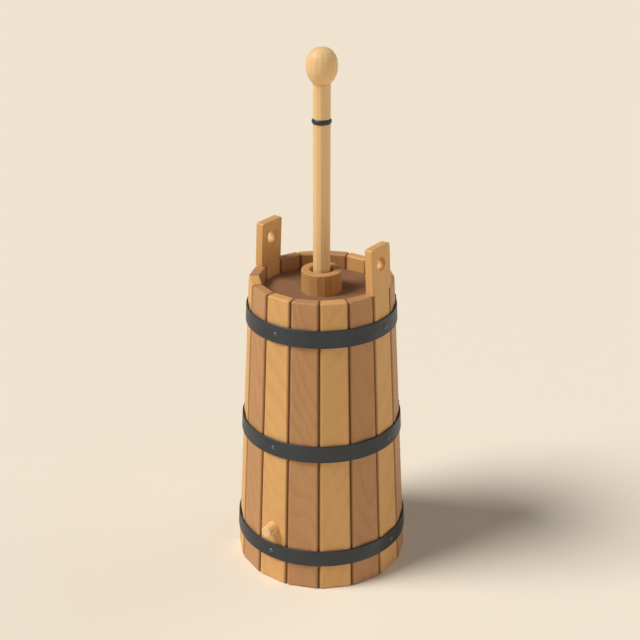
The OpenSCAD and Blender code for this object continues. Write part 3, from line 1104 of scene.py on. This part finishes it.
@dataclass
class Dasher:
    """The shaved handle with its knob and iron ring, and the cross that beats the cream."""

    handle_radius: float = 0.0142
    handle_sides: int = 12
    handle_low: float = 0.058
    handle_top: float = 0.8375
    flat_edge: float = 0.0006
    tenon_radius: float = 0.010
    tenon_low: float = 0.032
    knob_sides: int = 16
    knob_radius: float = 0.0252
    knob_rise: float = 0.0245
    knob_half: float = 0.031
    knob_upper_power: float = 2.4
    knob_lower_power: float = 1.85
    knob_rows: int = 5
    knob_crown: float = 0.94
    knob_tip: float = 0.14
    knob_edge: float = 0.0007
    ring_height: float = 0.7785
    ring_round: float = 0.0055
    ring_stand: float = 0.0017
    ring_sink: float = 0.0006

    def build_handle(self) -> None:
        """Models and dresses the handle and its tenon."""
        piece = Bench.rod(
            "handle_shaved", self.handle_radius, self.handle_low, self.handle_top, self.handle_sides
        )
        Bench.soften(piece, self.flat_edge, steps=2)
        tenon = Bench.rod("tenon", self.tenon_radius, self.tenon_low, self.handle_low + 0.001)
        Bench.combine(piece, tenon, "UNION")
        Bench.finish(piece)
        hand_over(piece, PALE.board(seed=51), "dasher", "pale_wood", "handle")

    def knob_at(self, rise: float) -> float:
        """Radius of the knob at a height above its widest place; its upper half is the fuller one."""
        power = self.knob_upper_power if rise > 0 else self.knob_lower_power
        return self.knob_radius * (1 - (abs(rise) / self.knob_half) ** power) ** (1 / power)

    def build_knob(self) -> None:
        """Models the knob ring by ring from its neck, and dresses it."""
        widest = self.handle_top + self.knob_rise
        step = self.knob_half / self.knob_rows
        rows = range(2 - self.knob_rows, self.knob_rows)
        rises = [-self.knob_rise, *(i * step for i in rows), self.knob_half * self.knob_crown]
        rings = [(self.knob_at(rise), widest + rise) for rise in rises]
        rings.append((self.knob_radius * self.knob_tip, widest + self.knob_half))
        bpy.ops.object.select_all(action="DESELECT")
        bpy.ops.mesh.primitive_circle_add(
            vertices=self.knob_sides, radius=rings[0][0], fill_type="NGON", location=(0, 0, rings[0][1])
        )
        piece = Bench.turn(Bench.named("knob_carved"), math.pi / self.knob_sides)
        Bench.open_up(piece, "FACE")
        bpy.ops.mesh.select_all(action="SELECT")
        for (radius, height), (next_radius, next_height) in zip(rings, rings[1:]):
            bpy.ops.mesh.extrude_region_move(TRANSFORM_OT_translate={"value": (0, 0, next_height - height)})
            share = next_radius / radius
            bpy.ops.transform.resize(value=(share, share, 1), center_override=(0, 0, next_height))
        bpy.ops.mesh.select_all(action="SELECT")
        bpy.ops.mesh.normals_make_consistent(inside=False)
        Bench.close_up()
        Bench.soften(piece, self.knob_edge, steps=2, sharp=8)
        Bench.finish(piece)
        hand_over(piece, PALE.board(seed=52), "dasher", "pale_wood", "knob")

    def build_ring(self) -> None:
        """Models the half-round iron ring and dresses it."""
        centre = self.handle_radius + self.ring_stand - self.ring_round
        bpy.ops.object.select_all(action="DESELECT")
        bpy.ops.mesh.primitive_circle_add(
            vertices=32, radius=self.ring_round, fill_type="NGON",
            location=(centre, 0, self.ring_height), rotation=(QUARTER_TURN, 0, 0),
        )
        profile = Bench.named("ring_profile")
        Bench.saw(profile, (self.handle_radius - self.ring_sink, 0, 0), (-1, 0, 0))
        piece = Bench.revolve("handle_ring_forged", profile, steps=96)
        Bench.finish(piece, sharp=60)
        hand_over(piece, HOOP_IRON.sheet(21), "dasher", "hoop_iron", "handle_ring")

    def dress_cross(self, nodes: dict[str, Piece]) -> None:
        """Dresses the two arms and the wedge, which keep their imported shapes."""
        dress_node(nodes, "dasher_arm_lower", ARM_WOOD.board(seed=61, run=GrainRun.ALONG_X))
        dress_node(nodes, "dasher_arm_upper", ARM_WOOD.board(seed=62, run=GrainRun.ALONG_Y))
        dress_node(nodes, "handle_wedge", PALE.board(seed=63))

    def build(self, nodes: dict[str, Piece]) -> None:
        """Builds the dasher from the handle down to the cross."""
        self.build_handle()
        self.build_knob()
        self.build_ring()
        self.dress_cross(nodes)


@dataclass
class DrainPlug:
    """The tapered peg that closes the drain hole, with a faceted grip."""

    barrel: Barrel
    out: float = 0.0212
    sides: int = 12
    tip_radius: float = 0.0098
    tip_edge: float = 0.002
    inside: float = 0.028
    flat_edge: float = 0.0006

    def build(self) -> None:
        """Models and dresses the plug."""
        radius = self.barrel.plug_radius
        inner = radius - self.barrel.plug_taper * self.inside / self.barrel.thickness
        bpy.ops.object.select_all(action="DESELECT")
        bpy.ops.mesh.primitive_cone_add(
            vertices=64, radius1=inner, radius2=radius, depth=self.inside, location=(0, 0, -self.inside / 2)
        )
        seat = Bench.named("plug_seat")
        grip = Bench.rod("drain_plug_whittled", radius, -0.0005, self.out, self.sides)
        Bench.open_up(grip)
        Bench.close_up()
        for vertex in grip.data.vertices:
            vertex.select = vertex.co.z > self.out / 2
        bpy.ops.object.mode_set(mode="EDIT")
        share = self.tip_radius / radius
        bpy.ops.transform.resize(value=(share, share, 1), center_override=(0, 0, self.out))
        Bench.close_up()

        def tip(a: Vector, b: Vector) -> bool:
            return min(a.z, b.z) > self.out - NEAR

        Bench.round_edges(grip, self.tip_edge, tip, steps=5)
        Bench.soften(grip, self.flat_edge, steps=2, sharp=20)
        Bench.combine(grip, seat, "UNION")
        height = self.barrel.plug_height
        place = Matrix.Translation((0, -self.barrel.face_at(height), height))
        Bench.put(grip, place @ Matrix.Rotation(QUARTER_TURN, 4, "X"))
        Bench.finish(grip)
        material = PALE.board(seed=71, run=GrainRun.ALONG_Y, centre=(0, 0, height))
        hand_over(grip, material, "drain_plug", "pale_wood", "drain_plug")


@dataclass
class Head:
    """The bottom head of three dowelled boards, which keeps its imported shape."""

    boards: tuple[str, ...] = ("head_board_left", "head_board_middle", "head_board_right")

    def build(self, nodes: dict[str, Piece]) -> None:
        """Dresses the boards and their dowels."""
        for number, name in enumerate(self.boards):
            dress_node(nodes, name, HEAD_WOOD.board(seed=81 + number, run=GrainRun.ALONG_Y))
        dress_node(nodes, "head_dowels", PALE.board(seed=85, run=GrainRun.ALONG_X))


@dataclass(frozen=True)
class Lamp:
    """A far, soft lamp that lights everything from one direction."""

    name: str
    azimuth: float
    elevation: float
    power: float
    softness: float
    colour: Colour = (1.0, 1.0, 1.0)

    def switch_on(self) -> None:
        """Adds the lamp, azimuth being the side that it shines from, counted from +X towards +Y."""
        light = bpy.data.lights.new(self.name, "SUN")
        light.energy = self.power
        light.angle = math.radians(self.softness)
        light.color = self.colour
        lamp = bpy.data.objects.new(self.name, light)
        bpy.context.scene.collection.objects.link(lamp)
        around, up = math.radians(self.azimuth), math.radians(self.elevation)
        source = Vector((math.cos(around) * math.cos(up), math.sin(around) * math.cos(up), math.sin(up)))
        lamp.rotation_euler = source.to_track_quat("Z", "Y").to_euler()


@dataclass
class Studio:
    """A pale floor, soft light and the camera."""

    floor_size: float = 60.0
    floor_drop: float = 0.0002
    floor_colour: Colour = (0.92, 0.84, 0.715)
    sky_colour: Colour = (1.0, 0.955, 0.88)
    sky_power: float = 0.115
    camera_azimuth: float = 35.55
    camera_distance: float = 1.8116
    camera_height: float = 1.2517
    camera_side: float = -0.0027
    camera_pitch: float = 24.18
    lens: float = 66.65
    sensor: float = 36.0
    lamps: tuple[Lamp, ...] = field(
        default=(
            Lamp("key", azimuth=-132, elevation=49.5, power=2.95, softness=26, colour=(1.0, 0.975, 0.94)),
            Lamp("rim", azimuth=58, elevation=24, power=0.60, softness=60, colour=(1.0, 0.97, 0.93)),
            Lamp("front", azimuth=-20, elevation=6, power=0.46, softness=90, colour=(1.0, 0.97, 0.93)),
        )
    )

    def lay_floor(self) -> None:
        """Lays the floor."""
        bpy.ops.object.select_all(action="DESELECT")
        bpy.ops.mesh.primitive_plane_add(size=self.floor_size, location=(0, 0, -self.floor_drop))
        floor = Bench.named("floor")
        tree = ShaderTree("floor_paper")
        tree.wear(base_color=self.floor_colour, roughness=1.0)
        tree.surface.inputs["Specular IOR Level"].default_value = 0.0
        floor.data.materials.append(tree.material)

    def light(self) -> None:
        """Lights the sky and the lamps, and keeps the view's colours plain."""
        world = bpy.data.worlds.new("studio")
        world.use_nodes = True
        sky = world.node_tree.nodes["Background"]
        sky.inputs["Color"].default_value = (*self.sky_colour, 1.0)
        sky.inputs["Strength"].default_value = self.sky_power
        bpy.context.scene.world = world
        for lamp in self.lamps:
            lamp.switch_on()
        bpy.context.scene.view_settings.view_transform = "Standard"
        bpy.context.scene.view_settings.look = "None"

    def place_camera(self) -> None:
        """Stands the camera where the photograph was taken from."""
        data = bpy.data.cameras.new("camera")
        data.lens = self.lens
        data.sensor_width = self.sensor
        camera = bpy.data.objects.new("camera", data)
        bpy.context.scene.collection.objects.link(camera)
        azimuth = math.radians(self.camera_azimuth)
        right = Vector((math.cos(azimuth), math.sin(azimuth), 0))
        back = Vector((math.sin(azimuth), -math.cos(azimuth), 0))
        camera.location = back * self.camera_distance + right * self.camera_side
        camera.location.z = self.camera_height
        camera.rotation_euler = (QUARTER_TURN - math.radians(self.camera_pitch), 0, azimuth)
        bpy.context.scene.camera = camera

    def build(self) -> None:
        """Sets up the whole studio."""
        self.lay_floor()
        self.light()
        self.place_camera()


def main() -> None:
    """Builds the churn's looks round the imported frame."""
    logging.basicConfig(level=logging.INFO, format="%(name)s: %(message)s")
    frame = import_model()
    nodes = frame["nodes"]
    Studio().build()
    barrel = Barrel()
    barrel.build()
    Hoops(barrel).build()
    Head().build(nodes)
    Lid().build()
    Dasher().build(nodes)
    DrainPlug(barrel).build()


if __name__ == "__main__":
    main()
